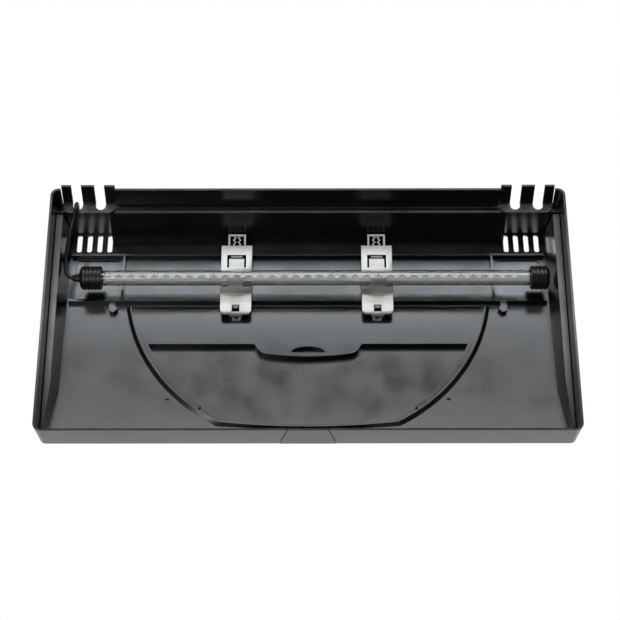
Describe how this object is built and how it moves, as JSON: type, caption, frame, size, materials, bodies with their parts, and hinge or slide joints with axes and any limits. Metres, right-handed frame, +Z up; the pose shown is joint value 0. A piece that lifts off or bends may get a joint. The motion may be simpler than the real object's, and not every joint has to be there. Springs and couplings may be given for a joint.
{
  "type": "aquarium hood",
  "caption": "Moulded aquarium cover hood with a hinged D-shaped feeding flap, corner cable combs and a tubular LED lamp held in spring clips.",
  "frame": {"origin": "middle of the rim, in the plane that the rim stands on", "axes": "+Z up out of the top of the hood, -Y towards the front tab, +Y towards the rear combs, +X along the long side"},
  "size_m": [0.61, 0.315, 0.0931],
  "materials": {
    "shell_plastic": "semi-gloss moulded",
    "black_rubber": "matt",
    "bright_metal": "bright sheet",
    "clear_tube": "clear",
    "board": "satin",
    "white_carrier": "satin",
    "yellow_wire": "satin",
    "red_wire": "satin"
  },
  "bodies": {
    "hood": {"hood_shell": "shell_plastic", "cable_comb_left": "shell_plastic", "cable_comb_right": "shell_plastic", "corner_cover_left": "shell_plastic", "corner_cover_right": "shell_plastic", "side_rail_left": "shell_plastic", "side_rail_right": "shell_plastic", "hinge_pin_left": "bright_metal", "hinge_pin_right": "bright_metal", "clip_base_left": "bright_metal", "clip_base_right": "bright_metal", "cable": "black_rubber", "cable_coil": "black_rubber", "cable_tail": "black_rubber", "coil_tie": "black_rubber", "connector_body": "black_rubber", "connector_barrel": "bright_metal"},
    "flap": {"flap": "shell_plastic", "flap_bumper_left": "black_rubber", "flap_bumper_right": "black_rubber"},
    "lamp": {"lamp_tube": "clear_tube", "led_board": "board", "board_carrier": "white_carrier", "end_cap_left": "black_rubber", "end_cap_right": "black_rubber", "lead_wire_yellow": "yellow_wire", "lead_wire_red": "red_wire", "cable_boot": "black_rubber"},
    "latch_left": {"clip_latch_left": "bright_metal"},
    "latch_right": {"clip_latch_right": "bright_metal"}
  },
  "joints": [
    {"name": "flap_hinge", "type": "hinge", "parent": "hood", "child": "flap", "pos_m": [0, 0.03256, 0.07314], "axis": [-1, 0, 0], "range_deg": [0, 95]},
    {"name": "lamp_turn", "type": "hinge", "parent": "hood", "child": "lamp", "pos_m": [0, 0.0575, 0.043], "axis": [1, 0, 0], "range_deg": [-45, 45]},
    {"name": "latch_left_release", "type": "hinge", "parent": "hood", "child": "latch_left", "pos_m": [0.0856, 0.024, 0.0592], "axis": [-1, 0, 0], "range_deg": [0, 20], "stiffness_Nm_per_rad": 0.6},
    {"name": "latch_right_release", "type": "hinge", "parent": "hood", "child": "latch_right", "pos_m": [-0.0824, 0.024, 0.0592], "axis": [-1, 0, 0], "range_deg": [0, 20], "stiffness_Nm_per_rad": 0.6}
  ]
}
